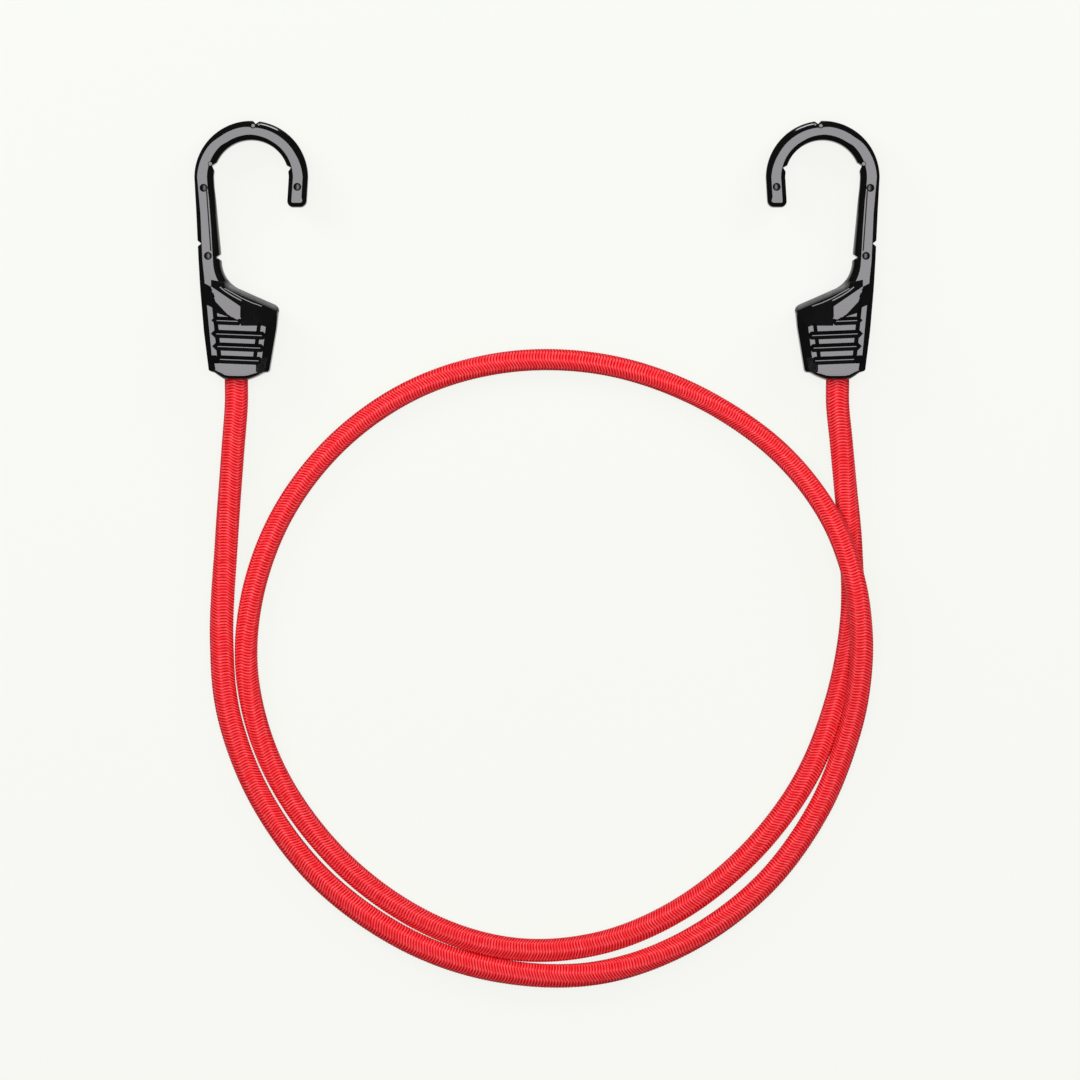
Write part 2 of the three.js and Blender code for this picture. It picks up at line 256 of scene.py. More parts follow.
def cover_rings(line):
    """Every ring of the cover's outside, one row a ring.

    They are the lengths, angles and distances of its points, its own place on the cord, and two values
    for the material: how far a point stands out of its groove, which sets the painted shade in the
    grooves and the painted highlight on the crests, and how dark its stroke is.
    """
    pitches = round(line.length / RIB_PITCH)
    shares = np.array([share for share, _ in RIB_PROFILE])
    heights = np.array([height for _, height in RIB_PROFILE])
    places = ((np.arange(pitches)[:, None] + shares) / pitches).ravel() * line.length
    places = np.append(places, line.length)
    ribs = np.append(np.tile(heights, pitches), 0.0)
    around = COLUMNS * POINTS_PER_COLUMN
    column = np.arange(around) / POINTS_PER_COLUMN
    width = 2 * math.pi * CORD_RADIUS / COLUMNS
    lean = width * math.tan(RIB_LEAN) * (np.abs(column % 2 - 1) - 0.5)
    lean += COLUMN_STAGGER * np.where(column % 2 < 1, 1, -1) * (column % 1 > 0)
    fade = np.clip(np.minimum(places, line.length - places) / PLAIN_END, 0, 1)[:, None]
    turns = 2 * math.pi * np.arange(around) / around
    tilted_side = places / TILT_TURN + TILT_SWAY * np.sin(places / TILT_SWAY_LENGTH)
    tilt = RING_TILT * np.sin(turns + tilted_side[:, None])
    ring_places = np.clip(places[:, None] + (lean + tilt) * fade, 0, line.length)
    angles = turns + slow_twist(places)[:, None]
    chance = np.random.default_rng(STROKE_SEED).random((pitches + 1, COLUMNS))
    stroke = chance.repeat(len(RIB_PROFILE), axis=0).repeat(POINTS_PER_COLUMN, axis=1)[:len(places)]
    seam = 1 - SEAM_FILL * (1 - np.sin(math.pi * (column % 1)))
    groove = (1 - ribs[:, None]) * seam * (1 - UNEVENNESS * stroke)
    top = RIB_TOP * np.interp(places, *zip(*GIRTH))[:, None]
    return ring_places, angles, top - RIB_HEIGHT * groove, places, 1 - groove, stroke


def braid_map(mesh, places, lining_count, around):
    """A map of the braid: millimetres along the cord, and columns about it."""
    corners = np.empty(len(mesh.loops), int)
    mesh.loops.foreach_get("vertex_index", corners)
    quads = corners.reshape(-1, 4)
    columns = (quads % around) / POINTS_PER_COLUMN
    last_column = columns.max(axis=1) - columns.min(axis=1) > COLUMNS / 2
    columns[last_column[:, None] & (columns == 0)] = COLUMNS
    lining = np.linspace(places[0], places[-1], lining_count)
    along = np.concatenate([places, lining])[quads // around]
    layer = mesh.uv_layers.new(name="braid")
    layer.data.foreach_set("uv", np.stack([along, columns], axis=-1).ravel().astype(np.float32))


def cover_length(name, line, rings, start, end, material):
    """One length of the braided cover, as a tube with its real wall."""
    ring_places, angles, radii, places, relief, stroke = rings
    first, last = (int(np.argmin(np.abs(places - place))) for place in (start, end))
    per_rib = len(RIB_PROFILE)
    first -= first % per_rib
    last -= last % per_rib
    outside = slice(first, last + 1)
    lining = np.unique(np.append(np.arange(first, last, RINGS_PER_LINING), last))
    around = angles.shape[1]
    outer = line.around(ring_places[outside], angles[outside], radii[outside])
    inner_radii = np.full((len(lining), around), CORD_RADIUS - COVER_WALL)
    inner = line.around(ring_places[lining], angles[lining], inner_radii)
    points = np.vstack([outer.reshape(-1, 3), inner.reshape(-1, 3)])
    inner_start = len(outer) * around
    inner_end = inner_start + (len(lining) - 1) * around
    outer_end = inner_start - around
    faces = tube_faces(0, len(outer), around)
    faces += [face[::-1] for face in tube_faces(inner_start, len(lining), around)]
    faces += band(inner_start, 0, around)
    faces += band(outer_end, inner_end, around)
    piece = new_piece(name, points, faces, material)
    ends = (0, outer_end, inner_start, inner_end)
    mark_sharp(piece.data, [range(e, e + around) for e in ends])
    lining_values = np.zeros(len(lining) * around)
    for kind, values in (("rib", relief), ("stroke", stroke)):
        every = np.concatenate([values[outside].ravel(), lining_values]).astype(np.float32)
        piece.data.attributes.new(kind, "FLOAT", "POINT")
        piece.data.attributes[kind].data.foreach_set("value", every)
    braid_map(piece.data, places[outside], lining_count=len(lining), around=around)
    path_places = np.append(np.arange(places[first], places[last], PATH_STEP), places[last])
    path = line.at(path_places, line.points)
    return piece, path * MM, float(places[last] - places[first]) * MM


def thread_length(name, line, start, end, material):
    """The rubber threads in one length of the cord, two rings of them."""
    count = max(2, round((end - start) / THREAD_STEP) + 1)
    places = np.linspace(start, end, count)
    half, cut = THREAD_ACROSS / 2, THREAD_CORNER
    corners = [(half, half - cut), (half - cut, half), (cut - half, half), (-half, half - cut)]
    corners += [(-x, -y) for x, y in corners]
    section = np.array(corners)
    points, faces = [], []
    for radius, threads in ((INNER_THREAD_RING, INNER_THREADS), (OUTER_THREAD_RING, OUTER_THREADS)):
        for k in range(threads):
            turn = 2 * math.pi * k / threads
            cosine, sine = math.cos(turn), math.sin(turn)
            x = radius * cosine + section[:, 0] * cosine - section[:, 1] * sine
            y = radius * sine + section[:, 0] * sine + section[:, 1] * cosine
            angles = np.arctan2(y, x) + slow_twist(places)[:, None]
            radii = np.broadcast_to(np.hypot(x, y), angles.shape)
            begin = len(points)
            along = np.broadcast_to(places[:, None], angles.shape)
            points += line.around(along, angles, radii).reshape(-1, 3).tolist()
            sides = len(section)
            faces += tube_faces(begin, count, sides)
            faces.append(tuple(begin + j for j in reversed(range(sides))))
            faces.append(tuple(begin + (count - 1) * sides + j for j in range(sides)))
    piece = new_piece(name, points, faces, material)
    piece.data.set_sharp_from_angle(angle=THREAD_SHARP)
    return piece


# Hook, in its own frame: v runs along the cord's line from the end of the nose, u to the side of
# the throat, and z = 0 is the middle plane. It is the same front and back.

BEND = (4.7, 63.1)
BEND_OUTER = 17.7
BEND_INNER = 11.7
BAR_FACE = 4.0
TIP_END = 53.9
TIP_CORNER = 1.9
ROOT = (-11.4, 31.9)
ROOT_INNER = -3.6
SOCKET_FACE = 7.0
SHOULDER = (13.3, 23.0)
SHOULDER_SLOPE = math.tan(math.radians(23.6))
TIP_LEAN = 0.06
HOOK_SHARP = math.radians(10.9)
INNER_PART_SHARP = math.radians(35)

# How far a cutter reaches past what it cuts: through the hook, above a face, and above a slope
OVERRUN = 1.0
FACE_OVERRUN = 0.2
SLOPE_OVERRUN = 2.0
SLOPE_REACH = 40.0
CUT_TOP = SOCKET_FACE + OVERRUN

# Crimped sleeve and the chamber that it turns in: radius and rise of each corner
SLEEVE = (
    (3.9, 11.3), (4.6, 11.3), (4.7, 11.4), (4.7, 13.6), (4.4, 13.9), (4.4, 15.4), (4.7, 15.7),
    (4.7, 16.9), (4.4, 17.2), (4.4, 18.7), (4.7, 19.0), (4.7, 21.2), (4.6, 21.3), (3.9, 21.3),
)
BORE_RADIUS = 3.9
MOUTH_RADIUS = 3.9
CHAMBER_RADIUS = 5.0
SEAT_RISE = 11.0
CHAMBER = (
    (0.01, -1.0), (BORE_RADIUS, -1.0), (BORE_RADIUS, SEAT_RISE), (CHAMBER_RADIUS, SEAT_RISE),
    (CHAMBER_RADIUS, 22.4), (MOUTH_RADIUS, 22.9), (MOUTH_RADIUS, 30.0), (0.01, 30.0),
)
CHAMBER_SIDES = 64
CHAMBER_OVERRUN = 0.05

# Steel core in the middle of the bar
CORE_RADIUS = 1.5
CORE_ROOM = 0.3
CORE_FOOT = (-7.5, 17.2)
CORE_TIP_DROP = 7.0
CORE_BEND_STEP = 6

# Holes that the mould's pins left, with a countersink on each face
PINS = ((-10.1, 59.85), (-8.75, 38.65), (19.1, 60.15))
PIN_RADIUS = 1.25
PIN_INNER_RADIUS = 0.9
PIN_COUNTERSINK = 0.4

# Notches in the bar's edge. On the bend: degrees, radius, which way they cut, depth and half width.
# On the shank: place, which way they cut, depth and half width.
BEND_NOTCHES = (
    (85, BEND_OUTER, -1, 0.95, 1.05),
    (163, BEND_INNER, 1, 1.1, 1.3),
    (14, BEND_INNER, 1, 1.1, 1.0),
)
SHANK_NOTCHES = (((-11.95, 42.5), 1, 1.1, 0.9), ((-4.63, 38.3), -1, 1.5, 1.05))

# Dimples in the bar's face: place, radius and height of the bottom
DIMPLES = (
    (5.3, 79.25, 0.55, 3.1), (7.05, 79.6, 0.3, 3.1), (-8.05, 67.35, 0.55, 3.55), (-5.5, 38.1, 0.4, 2.9),
)
DIMPLE_TOP = BAR_FACE + 0.1
DIMPLE_FLARE = 0.4

# Fine line that runs down the shank's face
SHANK_LINE = ((-9.16, 59.0), (-7.85, 40.2))
SHANK_LINE_HALF_WIDTH = 0.2
SHANK_LINE_DEPTH = 0.2

# Three edges of the bar, from its side up to its face: a plain bevel, a rolled one and a soft one.
# Each step is a share of the bevel's width and the drop from the face for one millimetre of width.
BAR_EDGES = (
    (
        (0, 0.645), (0.02, 0.59), (0.06, 0.542), (0.3, 0.404), (0.5, 0.289), (0.7, 0.173),
        (0.85, 0.087), (0.95, 0.029), (1, 0),
    ),
    (
        (0, 0.794), (0.03, 0.683), (0.09, 0.57), (0.18, 0.455), (0.3, 0.343), (0.44, 0.245),
        (0.6, 0.156), (0.78, 0.076), (1, 0),
    ),
    (
        (0, 1.32), (0.04, 1.035), (0.09, 0.751), (0.15, 0.566), (0.22, 0.434), (0.3, 0.339),
        (0.45, 0.213), (0.7, 0.08), (1, 0),
    ),
)

# Two values go with each place on the bar's outline: the bevel's width, and which of the three edges
# it has, counted from 0, or a mix of two. The shank's foot is hidden in the socket, and a fillet joins
# its inner side to the shoulder.
FOOT_RISE = 20.0
FOOT_REACH = 5.1
FOOT_OUTSIDE = (-10.4, FOOT_RISE, 1.5, 0)
FOOT_TOP_DROP = 0.5
FOOT_TOP_EDGE = (2.5, 1.5)
FOOT_END_EDGE = (1.0, 0)
SHANK_OUTSIDE = (
    (*ROOT, 1.5, 0), (-11.7, 37, 1.25, 0), (-12.4, 52, 1.3, 0), (BEND[0] - BEND_OUTER, BEND[1], 0.9, 0),
)
SHANK_INSIDE = (
    (BEND[0] - BEND_INNER, BEND[1], 2.05, 0.4), (-6.8, 60, 2.05, 0.8), (-6.33, 56, 2.06, 1.3),
    (-5.95, 52, 2.15, 1.6), (-5.5, 47.5, 2.27, 2), (-4.85, 41, 2.57, 2),
)
FILLET_SHARE = 0.75
FILLET_RISE = 4.1
FILLET_POINTS = 15
FILLET_BEVEL = 2.65
FILLET_WIDENING = 0.3
OUTER_TIP_BEVEL = 1.65
TIP_BEVEL = 1.3
INNER_TIP_BEVEL = 1.35
INNER_TIP_LIFT = 0.4

# Both values round the bend, outside and inside: the angles from and to, and the values at each
OUTER_BEVELS = (
    (180, 140, (0.9, 0), (1.3, 0)),
    (140, 128, (1.3, 0), (1.75, 0)),
    (128, 98, (1.75, 0), (1.85, 0.6)),
    (98, 88, (1.85, 0.6), (2.15, 1)),
    (88, 54, (2.15, 1), (2.2, 0.8)),
    (54, 28, (2.2, 0.8), (2.15, 0)),
    (28, 0, (2.15, 0), (1.65, 0)),
)
INNER_BEVELS = (
    (0, 26, (1.35, 0), (1.3, 0)),
    (26, 62, (1.3, 0), (1.25, 0.2)),
    (62, 92, (1.25, 0.2), (1.65, 0.4)),
    (92, 124, (1.65, 0.4), (1.65, 0.4)),
    (124, 134, (1.65, 0.4), (2.0, 0.4)),
    (134, 180, (2.0, 0.4), (2.05, 0.4)),
)
OUTER_STEP_DEGREES = 1.3
INNER_STEP_DEGREES = 2

# The socket's outline, from the shank's side round the nose to the shoulder and back: places, and how
# far the edge is rounded there in plan and in depth
NOSE = (
    (-8.45, 3.1, 0.3, 0.5), (-8.1, 2.75, 0.5, 0.8), (-6.6, 2.25, 1.0, 1.1), (-5.2, 1.2, 1.5, 1.4),
    (-3.9, 0.38, 1.6, 1.5), (-2.4, 0.08, 1.6, 1.5), (0, 0, 1.6, 1.5), (2.6, 0.02, 1.6, 1.5),
    (4.05, 0.2, 1.6, 1.5), (5.5, 0.72, 1.5, 1.4), (6.9, 1.35, 1.2, 1.3), (8.0, 1.95, 0.9, 1.2),
    (8.7, 2.3, 0.8, 1.2), (10.0, 2.5, 0.6, 1.2), (10.45, 3.1, 0.6, 1.2),
)
THROAT_SIDE = (12.6, 16)
THROAT_SIDE_ROUNDING = (0.7, 1.4)
SHOULDER_CORNER = ((13.12, 20.6), (13.26, 21.4), (13.24, 22.1), (12.95, 22.85), (12.4, 23.35))
SHOULDER_CORNER_END = 11.8
SHOULDER_CORNER_ROUNDING = (0.95, 1.8)
SHOULDER_START_ROUNDING = (1.1, 2.2)
UNDER_BAR_ROUNDING = (0.3, 0.5)
SHANK_SIDE = (-9.95, 15)
SHANK_SIDE_ROUNDING = (0.12, 0.2)

# The same two roundings along the shoulder, at these distances to the side, and the points' spacing
SHOULDER_ROUNDING = (
    (9.5, 1.7, 3.2, 0.7), (5.5, 1.7, 3.0, 0.7), (3.5, 1.35, 1.5, 0.5), (ROOT_INNER, 1.0, 1.2, 0.7),
)

# How far apart the points of both outlines lie, apart from the bend and the shoulder
FOOT_SPACING = 2.0
WIDE_SPACING = 1.5
SPACING = 1.0
NOSE_SPACING = 0.7
CORNER_SPACING = 0.5

# The socket's rounded edges: what they leave to its flat top, and to the slope of the shoulder
EDGE_BELOW_FACE = 0.05
EDGE_OVER_SLOPE = 0.03
TOP_INSET = 0.02

# Each face of the socket: four boat-shaped grip grooves between two slanted channels. A groove's rise
# is the one at the cord's line, and the tilt is how much it gains for each millimetre to the side.
GROOVE_RISES = (6.15, 10.15, 14.05, 18.2)
GROOVE_TILT = -0.04
GROOVE_ENDS = ((-6.6, 8.8), (-7.35, 9.3), (-7.75, 9.8), (-7.6, 2.3))
GROOVE_HALF_WIDTH = 1.28
GROOVE_FLOOR = 0.12
GROOVE_DEPTH = 0.8

# Channels: both ends and the half width
CHANNELS = (((-6.7, 22.9), (-5.1, 6.9), 0.68), ((7.35, 17.6), (5.95, 6.5), 0.62))
CHANNEL_DEPTH = 0.5

# Slopes of the socket's face: a place on the line that stays level, the way down and the angle
SIDE_FACETS = (
    ((-8.95, 23.15), (-0.9955, -0.095), 38),
    ((9.36, 16.45), (0.992, -0.1262), 25),
    ((0.0, 19.9), (0.346, 0.938), 14),
)
SHOULDER_FACET = SIDE_FACETS[2]

# Slopes that keep to a region of the socket's face, each with the corners of its region
ROOT_SLOPE = ((-9.17, 23.4), (0.463, 0.886), 28)
ROOT_REGION = (
    (-14, 25.95), (-1.06, 19.16), (-2.7, 20.95), (-6.2, 24.75),
    (-7.3, 27.95), (-7.74, 28.6), (-7.74, 35), (-14, 35),
)
POCKET_SLOPE = ((-7.2, 21.2), (0.3162, 0.9487), 28)
POCKET_REGION = (
    (-7.2, 20.8), (-1.06, 18.8), (-1.06, 19.16), (-2.7, 20.95), (-6.2, 24.75), (-7.2, 27.6),
)
CORNER_SLOPE = ((6.28, 4.0), (1.0, 0.0), 13)
CORNER_REGION = ((6.28, -1), (16, -1), (16, 6.9), (8.5, 6.9), (7.75, 6.75), (6.28, 5.3))
PANEL_SLOPE = ((1.6, 16.8), (0.0, 1.0), 11)
PANEL_REGION = ((1.6, 16.6), (9.6, 16.6), (15, 20), (15, 26), (8, 28), (1.6, 30))
HEEL_SLOPE = ((-8.0, 7.6), (0.0, -1.0), 25)
HEEL_REGION = ((-14, 5.06), (-5.4, 5.06), (-5.4, 6.6), (-6.0, 7.6), (-14, 7.6))
NOSE_SIDE_SLOPE = ((-6.6, 5.1), (-0.9855, -0.1696), 25)
NOSE_SIDE_REGION = ((-14, -1), (-5.55, -1), (-6.6, 5.1), (-14, 5.1))
SLOPED_REGIONS = (
    (ROOT_REGION, ROOT_SLOPE),
    (POCKET_REGION, POCKET_SLOPE),
    (CORNER_REGION, CORNER_SLOPE),
    (PANEL_REGION, PANEL_SLOPE),
    (HEEL_REGION, HEEL_SLOPE),
    (NOSE_SIDE_REGION, NOSE_SIDE_SLOPE),
)

# Ramp that rises from the shank's face towards the middle of the socket
RAMP_REGION = (
    (-8.0, 29.3), (1.4, 22.85), (1.4, 19.0), (0.3, 18.75), (-2.6, 20.4), (-6.35, 24.4), (-7.5, 27.7),
)
RAMP_START = (-7.74, 28.39)
RAMP_AHEAD = (0.749, -0.662)
RAMP_LOW = 4.4
RAMP_RISE = 0.09

# Narrow level ledges that curve along the shoulder's side of the face: their places and width
LEDGES = (
    (((-5.1, 28.8), (-3.4, 27.4), (-1.5, 26.2), (0.2, 25.25), (1.7, 24.5)), 0.34),
    (((-3.6, 28.35), (-1.0, 26.9), (1.6, 25.4), (4.9, 23.9), (8.0, 22.8)), 0.26),
)
LEDGE_DROP = 0.34
LEDGE_LEAN = 0.3


def shoulder_at(u):
    """Rise of the shoulder at this distance to the side."""
    return SHOULDER[1] + (SHOULDER[0] - u) * SHOULDER_SLOPE


def ramp_height(u, v):
    """Height of the ramp at a place."""
    along = (u - RAMP_START[0]) * RAMP_AHEAD[0] + (v - RAMP_START[1]) * RAMP_AHEAD[1]
    return RAMP_LOW + RAMP_RISE * along


def face_slope(u, v, slope, top):
    """Height of a sloping facet at a place, level with the top along its own line."""
    (at_u, at_v), (down_u, down_v), degrees = slope
    return top - math.tan(math.radians(degrees)) * ((u - at_u) * down_u + (v - at_v) * down_v)


def spaced(first, last, step):
    """Places from the first point up to the last one, which is left out."""
    first, last = np.array(first, float), np.array(last, float)
    count = max(1, round(float(np.linalg.norm((last - first)[:2])) / step))
    return [first + (last - first) * k / count for k in range(count)]


def chain(places, step):
    """Places along a line through all of these, without the last one."""
    return [point for first, last in zip(places, places[1:]) for point in spaced(first, last, step)]


def arc_points(radius, start, end, first, last, count):
    """Points on the bend with two more values that change evenly along it."""
    points = []
    for k in range(count + 1):
        share = k / count
        angle = math.radians(start + (end - start) * share)
        extra = [a + (b - a) * share for a, b in zip(first, last)]
        points.append([BEND[0] + radius * math.cos(angle), BEND[1] + radius * math.sin(angle), *extra])
    return points


def corner_arc(centre, radius, start, end, extra, count=6):
    """Points round a small corner, all with the same two values."""
    angles = np.radians(np.linspace(start, end, count + 1))
    u, v = centre
    return [[u + radius * math.cos(angle), v + radius * math.sin(angle), *extra] for angle in angles]


def bar_outline():
    """Outline of the bar. Each point carries the width of its bevel and which edge that has."""
    outer = BEND[0] + BEND_OUTER
    inner = BEND[0] + BEND_INNER
    throat = BEND[0] - BEND_INNER
    tip_corner = TIP_END + TIP_CORNER
    fillet_top = (throat + (ROOT_INNER - throat) * FILLET_SHARE, ROOT[1] + FILLET_RISE)
    foot_end = ROOT_INNER + FOOT_REACH
    outer_top, outer_low = ((outer, v, OUTER_TIP_BEVEL, 0) for v in (BEND[1], tip_corner))
    inner_low = (inner, tip_corner + INNER_TIP_LIFT, TIP_BEVEL, 0)
    points = spaced(FOOT_OUTSIDE, SHANK_OUTSIDE[0], FOOT_SPACING)
    points += chain(SHANK_OUTSIDE, WIDE_SPACING)
    for start, end, first, last in OUTER_BEVELS:
        count = round((start - end) / OUTER_STEP_DEGREES)
        points += arc_points(BEND_OUTER, start, end, first, last, count)[:-1]
    points += spaced(outer_top, outer_low, SPACING)
    points += corner_arc((outer - TIP_CORNER, tip_corner), TIP_CORNER, 0, -90, (TIP_BEVEL, 0))
    points += corner_arc((inner + TIP_CORNER, tip_corner), TIP_CORNER, -90, -180, (TIP_BEVEL, 0))
    points += spaced(inner_low, (inner, BEND[1], INNER_TIP_BEVEL, 0), SPACING)
    for start, end, first, last in INNER_BEVELS:
        count = round((end - start) / INNER_STEP_DEGREES)
        points += arc_points(BEND_INNER, start, end, first, last, count)[:-1]
    points += chain((*SHANK_INSIDE, (*fillet_top, FILLET_BEVEL, 2)), SPACING)
    control = np.array([ROOT_INNER, shoulder_at(ROOT_INNER)])
    start, end = np.array(fillet_top), np.array([foot_end, shoulder_at(foot_end)])
    for share in np.linspace(0, 1, FILLET_POINTS):
        point = start * (1 - share) ** 2 + control * 2 * share * (1 - share) + end * share**2
        points.append([*point, FILLET_BEVEL + FILLET_WIDENING * share, 2])
    foot_top = (foot_end, shoulder_at(foot_end) - FOOT_TOP_DROP, *FOOT_TOP_EDGE)
    foot = (foot_end, FOOT_RISE, *FOOT_END_EDGE)
    points += [*spaced(foot_top, foot, FOOT_SPACING), foot]
    points = np.array(points)
    tip = (points[:, 0] > BEND[0]) & (points[:, 1] < BEND[1])
    points[tip, 0] -= TIP_LEAN * (BEND[1] - points[tip, 1])
    return points


def socket_outline():
    """Outline of the socket. Each point carries how far its edge is rounded in plan and in depth."""
    corner = [*SHOULDER_CORNER, (SHOULDER_CORNER_END, shoulder_at(SHOULDER_CORNER_END))]
    throat_side = [(*place, *THROAT_SIDE_ROUNDING) for place in (THROAT_SIDE, corner[0])]
    shank_side = [(*place, *SHANK_SIDE_ROUNDING) for place in (ROOT, SHANK_SIDE)]
    points = chain(NOSE, NOSE_SPACING)
    points += chain((NOSE[-1], *throat_side), SPACING)
    points += chain([(*place, *SHOULDER_CORNER_ROUNDING) for place in corner], CORNER_SPACING)
    place = (*corner[-1], *SHOULDER_START_ROUNDING)
    for u, reach, drop, spacing in SHOULDER_ROUNDING:
        following = (u, shoulder_at(u), reach, drop)
        points += spaced(place, following, spacing)
        place = following
    under_bar = (ROOT_INNER, shoulder_at(ROOT_INNER), *UNDER_BAR_ROUNDING)
    points += spaced(under_bar, shank_side[0], SPACING)
    points += chain((*shank_side, NOSE[0]), WIDE_SPACING)
    return np.array(points)


def inward_normals(points):
    """Unit vectors to the inside of a closed outline."""
    ahead = np.roll(points, -1, axis=0) - np.roll(points, 1, axis=0)
    normals = np.stack([-ahead[:, 1], ahead[:, 0]], axis=1)
    normals /= np.linalg.norm(normals, axis=1)[:, None]
    following = np.roll(points, -1, axis=0)
    turn = np.sum(points[:, 0] * following[:, 1] - following[:, 0] * points[:, 1])
    return normals if turn > 0 else -normals


def mirrored_rings(half_rings):
    """The same rings behind the middle plane as in front of it."""
    back = [ring * np.array([1, 1, -1]) for ring in reversed(half_rings)]
    return back + half_rings


def ring_solid(rings):
    """A closed solid between rings of points, as bare points and faces."""
    around = len(rings[0])
    points = np.vstack(rings)
    faces = tube_faces(0, len(rings), around)
    faces.append(tuple(reversed(range(around))))
    faces.append(tuple(range(len(points) - around, len(points))))
    return points, faces


def bar_solid():
    """The bar with its bevels, from the shank's root round the bend to the tip."""
    outline = bar_outline()
    plan, width, kind = outline[:, :2], outline[:, 2:3], outline[:, 3:4]
    inward = inward_normals(plan)
    half = []
    for steps in zip(*BAR_EDGES):
        shares = np.interp(kind, range(len(steps)), [share for share, _ in steps])
        drops = np.interp(kind, range(len(steps)), [drop for _, drop in steps])
        half.append(np.hstack([plan + inward * width * shares, BAR_FACE - width * drops]))
    return ring_solid(mirrored_rings(half))


def socket_solid():
    """The socket's block with its rounded edges, before anything is cut in it."""
    outline = socket_outline()
    plan, reach, drop = outline[:, :2], outline[:, 2:3], outline[:, 3:4]
    inward = inward_normals(plan)
    inner = plan + inward * reach
    sloping = face_slope(inner[:, 0:1], inner[:, 1:2], SHOULDER_FACET, SOCKET_FACE)
    top = np.minimum(SOCKET_FACE - EDGE_BELOW_FACE, sloping + EDGE_OVER_SLOPE)
    half = []
    for degrees in range(0, 91, 15):
        angle = math.radians(degrees)
        heights = top - drop + drop * math.sin(angle)
        half.append(np.hstack([plan + inward * reach * (1 - math.cos(angle)), heights]))
    cap = half[-1].copy()
    cap[:, :2] += inward * TOP_INSET
    cap[:, 2] = SOCKET_FACE
    return ring_solid(mirrored_rings([*half, cap]))


def prism(region, bottom, top):
    """A solid over a region whose bottom may slope."""
    low = np.array([(u, v, bottom(u, v)) for u, v in region])
    high = np.array([(u, v, top) for u, v in region])
    return ring_solid([low, high])


def facet_cutter(slope, top):
    """Everything above a facet, on the low side of its own line."""
    (at_u, at_v), (down_u, down_v), _ = slope
    region = []
    for along, away in (
        (-SLOPE_REACH, 0), (SLOPE_REACH, 0), (SLOPE_REACH, SLOPE_REACH), (-SLOPE_REACH, SLOPE_REACH),
    ):
        region.append((at_u - down_v * along + down_u * away, at_v + down_u * along + down_v * away))
    low = [(u, v, face_slope(u, v, slope, top)) for u, v in region]
    lift = math.tan(math.radians(slope[2]))
    high = [
        (u - down_u * SLOPE_OVERRUN / lift, v - down_v * SLOPE_OVERRUN / lift, top + SLOPE_OVERRUN)
        for u, v in region[:2]
    ]
    high += [(u, v, top + SLOPE_OVERRUN) for u, v in region[2:]]
    return ring_solid([np.array(low), np.array(high)])


def groove_cutter(rise, ends):
    """A boat-shaped groove with sloping sides, a flat floor and pointed ends."""
    rings = []
    for depth in (GROOVE_DEPTH, -FACE_OVERRUN):
        shrink = depth * (GROOVE_HALF_WIDTH - GROOVE_FLOOR) / GROOVE_DEPTH
        half = GROOVE_HALF_WIDTH - shrink
        left = ends[0] + shrink * math.sqrt(2)
        right = ends[1] - shrink * math.sqrt(2)
        plan = (
            (left, rise), (left + half, rise - half), (right - half, rise - half),
            (right, rise), (right - half, rise + half), (left + half, rise + half),
        )
        rings.append(np.array([(u, v + GROOVE_TILT * u, SOCKET_FACE - depth) for u, v in plan]))
    return ring_solid(rings)


def channel_cutter(start, end, half_width, depth, face):
    """A channel of V section between two places."""
    start, end = np.array(start), np.array(end)
    along = (end - start) / np.linalg.norm(end - start)
    side = np.array([-along[1], along[0]]) * half_width * (depth + FACE_OVERRUN) / depth
    top = face + FACE_OVERRUN
    rings = []
    for place in (start, end):
        section = ((place + side, top), (place, face - depth), (place - side, top))
        rings.append(np.array([(*plan, z) for plan, z in section]))
    return ring_solid(rings)


def circles(profile, sides):
    """Circles of points, one for each radius and height: across, across and along their axis."""
    angles = 2 * math.pi * np.arange(sides) / sides
    return [
        (radius * np.cos(angles), radius * np.sin(angles), np.full(sides, height))
        for radius, height in profile
    ]


def turned_rings(profile, sides):
    """Rings about the cord's line, from their radius and rise."""
    return [np.stack([u, v, z], axis=1) for u, z, v in circles(profile, sides)]


def tube_solid(profile, sides=48):
    """A ring turned about the cord's line, with its own hole."""
    rings = turned_rings(profile, sides)
    faces = tube_faces(0, len(rings), sides) + band((len(rings) - 1) * sides, 0, sides)
    return np.vstack(rings), faces


def chamber_cutter():
    """Room for the cord and its sleeve, which ends along the slope of the shoulder."""
    points, faces = ring_solid(turned_rings(CHAMBER, CHAMBER_SIDES))
    open_end = points[:, 1] > SHOULDER[1]
    points[open_end, 1] = shoulder_at(points[open_end, 0]) + CHAMBER_OVERRUN
    return points, faces


def round_cutter(centre, profile, sides=24):
    """A round hole square to the face, from its radius and height."""
    rings = [np.stack([centre[0] + u, centre[1] + v, z], axis=1) for u, v, z in circles(profile, sides)]
    return ring_solid(rings)


def core_line(extra):
    """Centre line of the steel core with a direction across it, foot first."""
    top = np.array([BEND[0] - (BEND_INNER + BEND_OUTER) / 2, BEND[1]])
    foot = np.array(CORE_FOOT)
    down = (foot - top) / np.linalg.norm(foot - top)
    points = [foot + down * extra, top]
    radius = (BEND_INNER + BEND_OUTER) / 2
    centre = np.array(BEND)
    for degrees in range(180 - CORE_BEND_STEP, 0, -CORE_BEND_STEP):
        angle = math.radians(degrees)
        points.append(centre + radius * np.array([math.cos(angle), math.sin(angle)]))
    for drop in (0.0, CORE_TIP_DROP + extra):
        points.append(np.array([BEND[0] + radius - TIP_LEAN * drop, BEND[1] - drop]))
    return np.array(points)


